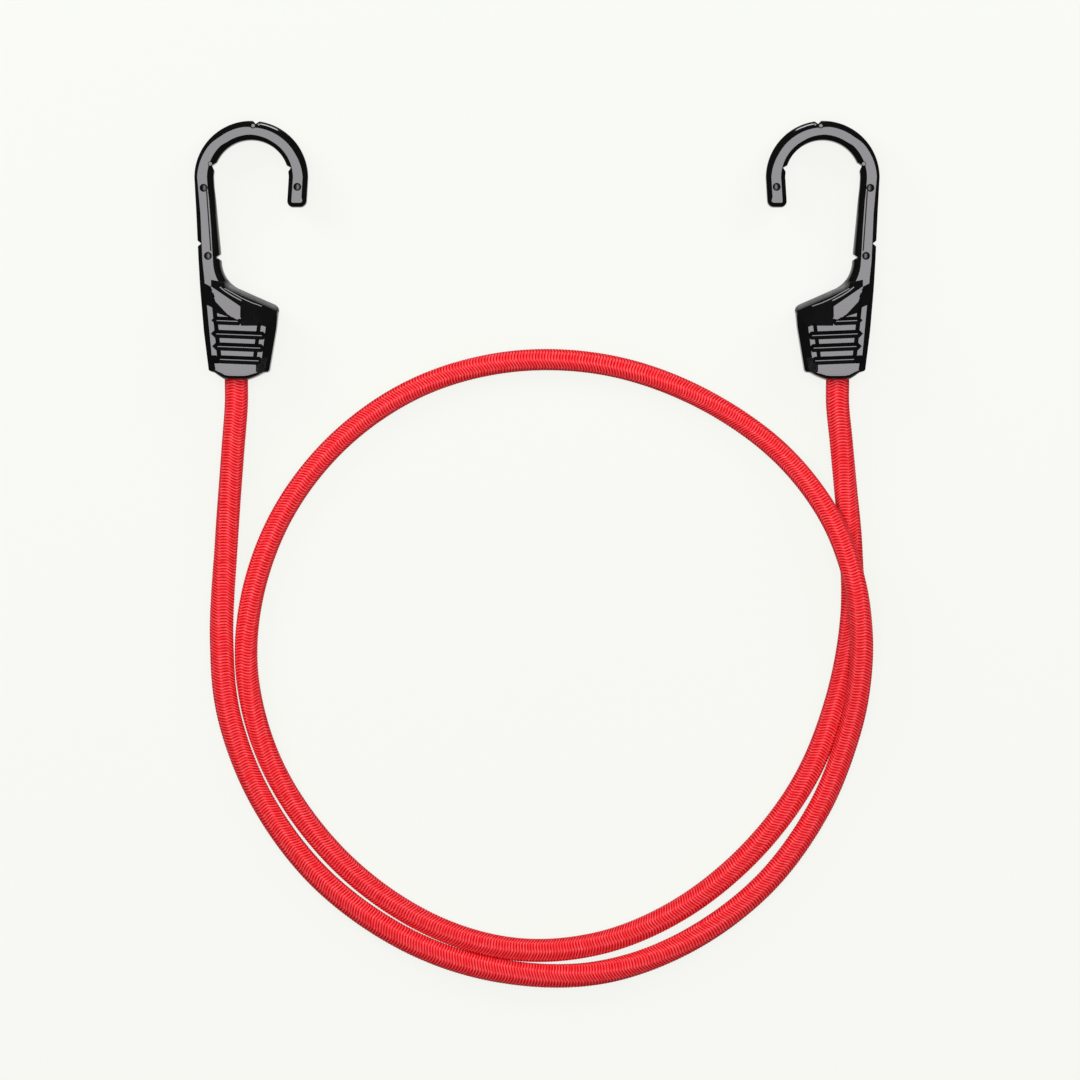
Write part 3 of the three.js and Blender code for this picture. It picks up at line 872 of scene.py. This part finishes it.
def core_solid(radius, extra, sides=24):
    """The round core, longer at both ends by the extra."""
    line = core_line(extra)
    along = np.gradient(line, axis=0)
    along /= np.linalg.norm(along, axis=1)[:, None]
    angles = 2 * math.pi * np.arange(sides) / sides
    rings = []
    for point, ahead in zip(line, along):
        side = np.array([-ahead[1], ahead[0]])
        plan = point + side * (radius * np.cos(angles))[:, None]
        rings.append(np.column_stack([plan, radius * np.sin(angles)]))
    return ring_solid(rings)


def through(region):
    """A straight cutter that goes right through the hook."""
    return prism(region, lambda u, v: -CUT_TOP, CUT_TOP)


def notch_region(point, inward, depth, half_width):
    """A wedge whose point lies the notch's depth inside the edge it is cut in."""
    point, inward = np.array(point), np.array(inward)
    side = np.array([-inward[1], inward[0]]) * half_width * (1 + OVERRUN / depth)
    out = point - inward * OVERRUN
    return [tuple(point + inward * depth), tuple(out + side), tuple(out - side)]


def notch_regions():
    """The wedges of all notches in the bar's edge."""
    regions = []
    for degrees, radius, sign, depth, half_width in BEND_NOTCHES:
        ray = np.array([math.cos(math.radians(degrees)), math.sin(math.radians(degrees))])
        regions.append(notch_region(np.array(BEND) + ray * radius, ray * sign, depth, half_width))
    for place, sign, depth, half_width in SHANK_NOTCHES:
        regions.append(notch_region(place, (sign, 0), depth, half_width))
    return regions


def bare_object(solid):
    """An object in millimetres, only to cut or to be cut."""
    mesh = bpy.data.meshes.new("blank")
    points, faces = solid
    mesh.from_pydata(np.asarray(points, float).tolist(), [], faces)
    work = bmesh.new()
    work.from_mesh(mesh)
    bmesh.ops.recalc_face_normals(work, faces=work.faces)
    work.to_mesh(mesh)
    work.free()
    blank = bpy.data.objects.new("blank", mesh)
    bpy.context.scene.collection.objects.link(blank)
    return blank


def combine(solid, steps, shaded=False):
    """A solid after unions and differences with others, as a mesh in millimetres."""
    body = bare_object(solid)
    others = []
    for operation, other in steps:
        others.append(bare_object(other))
        change = body.modifiers.new("step", "BOOLEAN")
        change.operation = operation
        change.solver = "MANIFOLD"
        change.object = others[-1]
    graph = bpy.context.evaluated_depsgraph_get()
    mesh = bpy.data.meshes.new_from_object(body.evaluated_get(graph))
    if shaded:
        mesh.materials.clear()
        mesh.polygons.foreach_set("use_smooth", [True] * len(mesh.polygons))
        mesh.set_sharp_from_angle(angle=HOOK_SHARP)
        body.modifiers.clear()
        body.data = mesh
        weighted = body.modifiers.new("normals", "WEIGHTED_NORMAL")
        weighted.keep_sharp = True
        weighted.weight = 100
        graph = bpy.context.evaluated_depsgraph_get()
        mesh = bpy.data.meshes.new_from_object(body.evaluated_get(graph))
    for blank in (body, *others):
        blank_mesh = blank.data
        bpy.data.objects.remove(blank)
        bpy.data.meshes.remove(blank_mesh)
    return mesh


def ledge_cutter(places, width):
    """Cuts a level ledge that follows these places."""
    places = np.array(places)
    along = np.gradient(places, axis=0)
    along /= np.linalg.norm(along, axis=1)[:, None]
    rings = []
    for (u, v), (ahead_u, ahead_v) in zip(places, along):
        level = face_slope(u, v, SHOULDER_FACET, SOCKET_FACE) - LEDGE_DROP
        section = ((0.0, level), (width, level), (width + LEDGE_LEAN, CUT_TOP), (0.0, CUT_TOP))
        rings.append(np.array([(u - ahead_v * away, v + ahead_u * away, z) for away, z in section]))
    return ring_solid(rings)


def both_faces(solid):
    """Two cuts, with this solid at the front and the same one at the back."""
    points, faces = solid
    return [("DIFFERENCE", solid), ("DIFFERENCE", (np.asarray(points) * np.array([1, 1, -1]), faces))]


def hook_mesh():
    """The whole hook: the socket is carved first, then joined to the bar, which is cut after that."""
    block_cuts = []
    for slope in SIDE_FACETS:
        block_cuts += both_faces(facet_cutter(slope, SOCKET_FACE))
    for region, slope in SLOPED_REGIONS:
        bottom = functools.partial(face_slope, slope=slope, top=SOCKET_FACE)
        block_cuts += both_faces(prism(region, bottom, CUT_TOP))
    for rise, ends in zip(GROOVE_RISES, GROOVE_ENDS):
        block_cuts += both_faces(groove_cutter(rise, ends))
    for start, end, half_width in CHANNELS:
        block_cuts += both_faces(channel_cutter(start, end, half_width, CHANNEL_DEPTH, SOCKET_FACE))
    block_cuts += both_faces(prism(RAMP_REGION, ramp_height, CUT_TOP))
    for places, width in LEDGES:
        block_cuts += both_faces(ledge_cutter(places, width))
    block = combine(socket_solid(), block_cuts)
    points = np.array([vertex.co for vertex in block.vertices])
    faces = [tuple(face.vertices) for face in block.polygons]
    steps = [("UNION", (points, faces)), ("DIFFERENCE", chamber_cutter())]
    steps.append(("DIFFERENCE", core_solid(CORE_RADIUS + CORE_ROOM, CORE_ROOM)))
    for pin in PINS:
        hole = ((PIN_INNER_RADIUS, -CUT_TOP), (PIN_INNER_RADIUS, CUT_TOP))
        steps.append(("DIFFERENCE", round_cutter(pin, hole)))
        low, high = BAR_FACE - PIN_COUNTERSINK, BAR_FACE + FACE_OVERRUN
        wide = PIN_RADIUS + (PIN_RADIUS - PIN_INNER_RADIUS) * FACE_OVERRUN / PIN_COUNTERSINK
        steps += both_faces(round_cutter(pin, ((PIN_INNER_RADIUS, low), (wide, high))))
    steps += [("DIFFERENCE", through(region)) for region in notch_regions()]
    shank_line = channel_cutter(*SHANK_LINE, SHANK_LINE_HALF_WIDTH, SHANK_LINE_DEPTH, BAR_FACE)
    steps += both_faces(shank_line)
    for u, v, radius, low in DIMPLES:
        top_radius = radius + (DIMPLE_TOP - low) * DIMPLE_FLARE
        steps += both_faces(round_cutter((u, v), ((radius, low), (top_radius, DIMPLE_TOP))))
    return combine(bar_solid(), steps, shaded=True)


# Materials

# Pieces of one colour: the colour, roughness and metallic
THREAD_RUBBER = ((0.72, 0.6, 0.38), 0.7)
CORE_STEEL = ((0.16, 0.16, 0.165), 0.55, 1.0)
SLEEVE_METAL = ((0.6, 0.61, 0.63), 0.28, 1.0)

# Braid: the painted shade in its grooves, the red of its ribs and the painted highlight on a rib's
# crest
BRAID_PLAIN = (0.8, 0.02, 0.03)
BRAID_GROOVE_SHADE = (0.42, 0.001, 0.003, 1)
BRAID_RIB = (0.94, 0.015, 0.022, 1)
BRAID_CREST_HIGHLIGHT = (1.0, 0.125, 0.142, 1)
BRAID_ROUGHNESS = 0.48
BRAID_SHINE = 0.06
RIB_FROM = 0.1
RIB_TO = 0.95
CREST_HIGHLIGHT_FROM = 0.74
DARKEST_STROKE = 0.87
FILAMENT_STRETCH = (9.0, 0.8, 1.0)
FILAMENT_RANGE = (0.3, 0.7)
FILAMENT_SHADE = 0.12
FILAMENT_BUMP = 0.25
FILAMENT_DEPTH = 0.00006

# Hook: glossy black, and along the shoulder's edge duller, with a pale painted reflection
HOOK_BLACK = (0.0045, 0.0043, 0.0046)
HOOK_EDGE_REFLECTION = (0.24, 0.24, 0.235, 1)
HOOK_ROUGHNESS = 0.09
HOOK_DULL_ROUGHNESS = 0.5
HOOK_INDEX = 1.615
HOOK_TINT = (0.99, 0.965, 1.0, 1)
WAVE_SCALE = 260.0
WAVE_BUMP = 0.06
WAVE_DEPTH = 0.0004

# Where the duller band with its painted reflection lies, in metres: past the edge and inside it, and
# across the object
DULL_REFLECTION_PAST_EDGE = (-0.0012, -0.0008)
DULL_REFLECTION_INSIDE = (0.0, 0.0019)
DULL_REFLECTION_ACROSS = (0.0955, 0.0975)
DULL_WEAR = 0.15
PALE_POWER = 1.6

# Floor and world
FLOOR_COLOUR = (0.928, 0.937, 0.894)
FLOOR_ROUGHNESS = 0.9
FLOOR_BOUNCE = (0.15, 0.15, 0.15, 1)
FLOOR_GLOW = 0.9
FLOOR_GLOW_IN_GLOSS = 0.6
WORLD_GREY = (0.14, 0.14, 0.14, 1)
WORLD_IN_GLOSS = (0.01, 0.01, 0.01, 1)


def plain_material(name, colour, roughness, metallic=0.0):
    """One colour and roughness all over."""
    material = bpy.data.materials.new(name)
    material.use_nodes = True
    shader = material.node_tree.nodes["Principled BSDF"]
    shader.inputs["Base Color"].default_value = (*colour, 1)
    shader.inputs["Roughness"].default_value = roughness
    shader.inputs["Metallic"].default_value = metallic
    return material


class Nodes:
    """A node tree with short ways to add a node and to join two."""

    def __init__(self, tree):
        self.tree = tree

    def add(self, kind, settings=None, **inputs):
        """A node with its settings and with what goes into its sockets."""
        node = self.tree.nodes.new(kind)
        for name, value in (settings or {}).items():
            setattr(node, name, value)
        for name, value in inputs.items():
            self.set(node.inputs[name.replace("_", " ")], value)
        return node

    def set(self, socket, value):
        """Joins a socket to another one, or gives it a plain value."""
        if isinstance(value, bpy.types.NodeSocket):
            self.tree.links.new(value, socket)
        else:
            socket.default_value = value

    def math(self, operation, first, second=0.0):
        """Arithmetic on one or two values."""
        node = self.tree.nodes.new("ShaderNodeMath")
        node.operation = operation
        self.set(node.inputs[0], first)
        self.set(node.inputs[1], second)
        return node.outputs[0]

    def mix(self, share, first, second):
        """A colour between two others."""
        node = self.tree.nodes.new("ShaderNodeMix")
        node.data_type = "RGBA"
        self.set(node.inputs[0], share)
        self.set(node.inputs[6], first)
        self.set(node.inputs[7], second)
        return node.outputs[2]

    def ramp(self, value, low, high, first=0.0, second=1.0):
        """The value's range from low to high, turned into the one from first to second."""
        node = self.add("ShaderNodeMapRange", Value=value)
        names = ("From Min", "From Max", "To Min", "To Max")
        for name, number in zip(names, (low, high, first, second)):
            node.inputs[name].default_value = number
        return node.outputs[0]


def braid_material():
    """Red braided polyester: ribs of fine filaments with a painted highlight on their crests and
    painted shade in the grooves between them.
    """
    material = plain_material("braid_red", BRAID_PLAIN, BRAID_ROUGHNESS)
    nodes = Nodes(material.node_tree)
    shader = material.node_tree.nodes["Principled BSDF"]
    rib = nodes.add("ShaderNodeAttribute", {"attribute_name": "rib"}).outputs["Fac"]
    stroke = nodes.add("ShaderNodeAttribute", {"attribute_name": "stroke"}).outputs["Fac"]
    place = nodes.add("ShaderNodeUVMap", {"uv_map": "braid"}).outputs[0]
    stretched = nodes.add("ShaderNodeVectorMath", {"operation": "MULTIPLY"})
    nodes.set(stretched.inputs[0], place)
    stretched.inputs[1].default_value = FILAMENT_STRETCH
    filaments = nodes.add("ShaderNodeTexNoise", Vector=stretched.outputs[0], Scale=1.0, Detail=1.0)
    shades = nodes.ramp(filaments.outputs[0], *FILAMENT_RANGE, -FILAMENT_SHADE, FILAMENT_SHADE)
    height = nodes.ramp(rib, RIB_FROM, RIB_TO)
    height = nodes.math("MULTIPLY", height, nodes.ramp(stroke, 0, 1, 1.0, DARKEST_STROKE))
    height = nodes.math("ADD", height, shades)
    # The grooves get painted shade and the rib crests a painted highlight
    body = nodes.mix(height, BRAID_GROOVE_SHADE, BRAID_RIB)
    colour = nodes.mix(nodes.ramp(height, CREST_HIGHLIGHT_FROM, 1.0), body, BRAID_CREST_HIGHLIGHT)
    nodes.set(shader.inputs["Base Color"], colour)
    bump = nodes.add(
        "ShaderNodeBump", Strength=FILAMENT_BUMP, Distance=FILAMENT_DEPTH, Height=filaments.outputs[0],
    )
    nodes.set(shader.inputs["Normal"], bump.outputs[0])
    shader.inputs["Specular IOR Level"].default_value = BRAID_SHINE
    return material


def floor_material():
    """Pale floor that glows a little, so that it stays even under the cord."""
    material = plain_material("floor_white", FLOOR_COLOUR, FLOOR_ROUGHNESS)
    nodes = Nodes(material.node_tree)
    tree = material.node_tree
    shader = tree.nodes["Principled BSDF"]
    ray = nodes.add("ShaderNodeLightPath")
    camera_ray = ray.outputs["Is Camera Ray"]
    glossy_ray = ray.outputs["Is Glossy Ray"]
    nodes.set(shader.inputs["Base Color"], nodes.mix(camera_ray, FLOOR_BOUNCE, (*FLOOR_COLOUR, 1)))
    shader.inputs["Specular IOR Level"].default_value = 0.0
    strength = nodes.ramp(glossy_ray, 0, 1, 1.0, FLOOR_GLOW_IN_GLOSS)
    glow = nodes.add("ShaderNodeEmission", Color=(*FLOOR_COLOUR, 1), Strength=strength)
    share = nodes.math("MULTIPLY", nodes.math("MAXIMUM", camera_ray, glossy_ray), FLOOR_GLOW)
    mixed = nodes.add("ShaderNodeMixShader")
    nodes.set(mixed.inputs[0], share)
    nodes.set(mixed.inputs[1], shader.outputs[0])
    nodes.set(mixed.inputs[2], glow.outputs[0])
    nodes.set(tree.nodes["Material Output"].inputs["Surface"], mixed.outputs[0])
    return material


def hook_material():
    """Glossy black moulded nylon with a faint unevenness, duller along the shoulder's edge, where a
    pale painted reflection lies.
    """
    material = plain_material("hook_black", HOOK_BLACK, HOOK_ROUGHNESS)
    nodes = Nodes(material.node_tree)
    shader = material.node_tree.nodes["Principled BSDF"]
    shader.inputs["IOR"].default_value = HOOK_INDEX
    shader.inputs["Specular Tint"].default_value = HOOK_TINT
    place = nodes.add("ShaderNodeTexCoord").outputs["Object"]
    waves = nodes.add("ShaderNodeTexNoise", Vector=place, Scale=WAVE_SCALE, Detail=3.0)
    bump = nodes.add("ShaderNodeBump", Strength=WAVE_BUMP, Distance=WAVE_DEPTH, Height=waves.outputs[0])
    nodes.set(shader.inputs["Normal"], bump.outputs[0])
    axes = nodes.add("ShaderNodeSeparateXYZ", Vector=place)
    across = nodes.math("ABSOLUTE", axes.outputs["X"])
    edge_height = (SHOULDER[1] + NOSE_Y + (SHOULDER[0] - HOOK_X) * SHOULDER_SLOPE) * MM
    edge = nodes.math("ADD", nodes.math("MULTIPLY", across, SHOULDER_SLOPE), edge_height)
    inside = nodes.math("SUBTRACT", edge, axes.outputs["Y"])
    past_edge = nodes.ramp(inside, *DULL_REFLECTION_PAST_EDGE)
    near_edge = nodes.math("MULTIPLY", past_edge, nodes.ramp(inside, *DULL_REFLECTION_INSIDE, 1.0, 0.0))
    dull_reflection = nodes.math("MULTIPLY", near_edge, nodes.ramp(across, *DULL_REFLECTION_ACROSS, 1.0, 0.0))
    roughness = nodes.ramp(dull_reflection, 0.0, DULL_WEAR, HOOK_ROUGHNESS, HOOK_DULL_ROUGHNESS)
    nodes.set(shader.inputs["Roughness"], roughness)
    # A pale painted reflection along the shoulder's edge, where the roughness is raised too
    pale = nodes.math("POWER", dull_reflection, PALE_POWER)
    nodes.set(shader.inputs["Base Color"], nodes.mix(pale, (*HOOK_BLACK, 1), HOOK_EDGE_REFLECTION))
    return material


braid_red = braid_material()
thread_rubber = plain_material("thread_rubber", *THREAD_RUBBER)
floor_white = floor_material()
hook_black = hook_material()
core_steel = plain_material("core_steel", *CORE_STEEL)
sleeve_metal = plain_material("sleeve_metal", *SLEEVE_METAL)


# Building


def cord():
    """The cover and its threads, in three lengths."""
    line = CordLine()
    rings = cover_rings(line)
    lengths = (
        ("left", 0.0, LEFT_LENGTH),
        ("middle", LEFT_LENGTH, line.length - RIGHT_LENGTH),
        ("right", line.length - RIGHT_LENGTH, line.length),
    )
    for side, start, end in lengths:
        cover, path, length = cover_length(f"braided_cover_{side}", line, rings, start, end, braid_red)
        threads = thread_length(f"rubber_threads_{side}", line, start, end, thread_rubber)
        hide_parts("cord_cover")
        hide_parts(*THREAD_NODES)
        if side == "middle":
            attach(cover, "cord")
            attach(threads, "cord")
        else:
            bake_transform(cover)
            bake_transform(threads)
        path = path[::-1] if side == "right" else path


def hooks():
    """Both hooks. The right one is the left one turned over, and each holds its core and sleeve."""
    body_mesh = hook_mesh()
    body_mesh.materials.clear()
    body_mesh.materials.append(hook_black)
    body_mesh.transform(Matrix.Scale(MM, 4))
    for side, x, turn in (("left", -HOOK_X, 0.0), ("right", HOOK_X, math.pi)):
        hook = bpy.data.objects.new(f"{side}_hook", body_mesh.copy())
        to_nose = Matrix.Translation((x * MM, NOSE_Y * MM, AXIS_Z * MM))
        hook.data.transform(to_nose @ Matrix.Rotation(turn, 4, "Y"))
        bpy.context.scene.collection.objects.link(hook)
        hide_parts(f"{side}_hook_body")
        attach(hook, f"{side}_hook")
        inner_parts = (
            ("steel_core", core_solid(CORE_RADIUS, 0), core_steel, "core_steel", f"{side}_hook"),
            ("crimp_sleeve", tube_solid(SLEEVE), sleeve_metal, "sleeve_metal", f"{side}_end"),
        )
        for kind, (points, faces), material, slot, body in inner_parts:
            facing = math.cos(turn)
            placed = points * np.array([facing, 1, facing]) + (x, NOSE_Y, AXIS_Z)
            part = new_piece(f"{side}_{kind}_smooth", placed, faces, material)
            part.data.set_sharp_from_angle(angle=INNER_PART_SHARP)
            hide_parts(f"{side}_{kind}")
            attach(part, body)


# Stage

# Lamps: sizes and places are in metres, and how bright a lamp is doesn't depend on its size. The
# strip gives the hooks their gloss.
OVERHEAD_HEIGHT = 2.2
OVERHEAD_HALF_ANGLE = math.radians(20)
OVERHEAD_RADIANCE = 5.3
SIDE_LAMPS = (("left", -0.5, 6.2), ("right", 0.5, 5.0))
SIDE_LAMP_Y = 0.35
SIDE_LAMP_HEIGHT = 0.42
SIDE_LAMP_SIZE = 0.4
STRIP_PLACE = (0, 0.3, 0.0915)
STRIP_AIM = (0, 0.03, 0.01)
STRIP_SIZE = (0.108, 0.06)
STRIP_RADIANCE = 10


def floor():
    """A level floor that reaches past every view."""
    half = FLOOR_HALF
    corners = [(-half, -half, 0), (half, -half, 0), (half, half, 0), (-half, half, 0)]
    piece = new_piece("floor", corners, [(0, 1, 2, 3)], floor_white)


def camera():
    """A camera straight above that shows the photograph's width at SHARP_HEIGHT."""
    data = bpy.data.cameras.new("photo_camera")
    data.sensor_width = 36
    data.lens = data.sensor_width * (CAMERA_HEIGHT - SHARP_HEIGHT) / PHOTO_WIDTH
    data.clip_end = 100
    view = bpy.data.objects.new("photo_camera", data)
    view.location = (PHOTO_CENTRE[0] * MM, PHOTO_CENTRE[1] * MM, CAMERA_HEIGHT * MM)
    bpy.context.scene.collection.objects.link(view)
    bpy.context.scene.camera = view


def lamp(name, place, aim, size, radiance, shape="DISK"):
    """A soft area lamp, whose size and places are in metres."""
    data = bpy.data.lights.new(name, "AREA")
    data.shape = shape
    data.size = size[0]
    data.size_y = size[1]
    area = math.pi / 4 * size[0] ** 2 if shape == "DISK" else size[0] * size[1]
    data.energy = radiance * math.pi * area
    light = bpy.data.objects.new(name, data)
    light.location = place
    light.rotation_euler = (Vector(aim) - Vector(place)).to_track_quat("-Z", "Y").to_euler()
    light.visible_camera = False
    bpy.context.scene.collection.objects.link(light)
    return light


def lamps():
    """A broad lamp overhead, one to each side that shows in no gloss, and a strip that only does."""
    centre = (PHOTO_CENTRE[0] * MM, PHOTO_CENTRE[1] * MM, 0)
    span = 2 * OVERHEAD_HEIGHT * math.tan(OVERHEAD_HALF_ANGLE)
    lamp("overhead_lamp", (*centre[:2], OVERHEAD_HEIGHT), centre, (span, span), OVERHEAD_RADIANCE)
    for side, x, radiance in SIDE_LAMPS:
        place = (x, SIDE_LAMP_Y, SIDE_LAMP_HEIGHT)
        fill = lamp(f"{side}_lamp", place, centre, (SIDE_LAMP_SIZE, SIDE_LAMP_SIZE), radiance)
        fill.visible_glossy = False
    strip = lamp("strip_lamp", STRIP_PLACE, STRIP_AIM, STRIP_SIZE, STRIP_RADIANCE, "RECTANGLE")
    strip.visible_diffuse = False


def world():
    """Even grey light from all round, nearly black in reflections."""
    sky = bpy.data.worlds.new("studio")
    sky.use_nodes = True
    nodes = Nodes(sky.node_tree)
    glossy_ray = nodes.add("ShaderNodeLightPath").outputs["Is Glossy Ray"]
    background = sky.node_tree.nodes["Background"]
    nodes.set(background.inputs["Color"], nodes.mix(glossy_ray, WORLD_GREY, WORLD_IN_GLOSS))
    background.inputs["Strength"].default_value = 1
    bpy.context.scene.world = sky


cord()
hooks()
floor()
camera()
lamps()
world()
bpy.context.scene.view_settings.view_transform = "Standard"
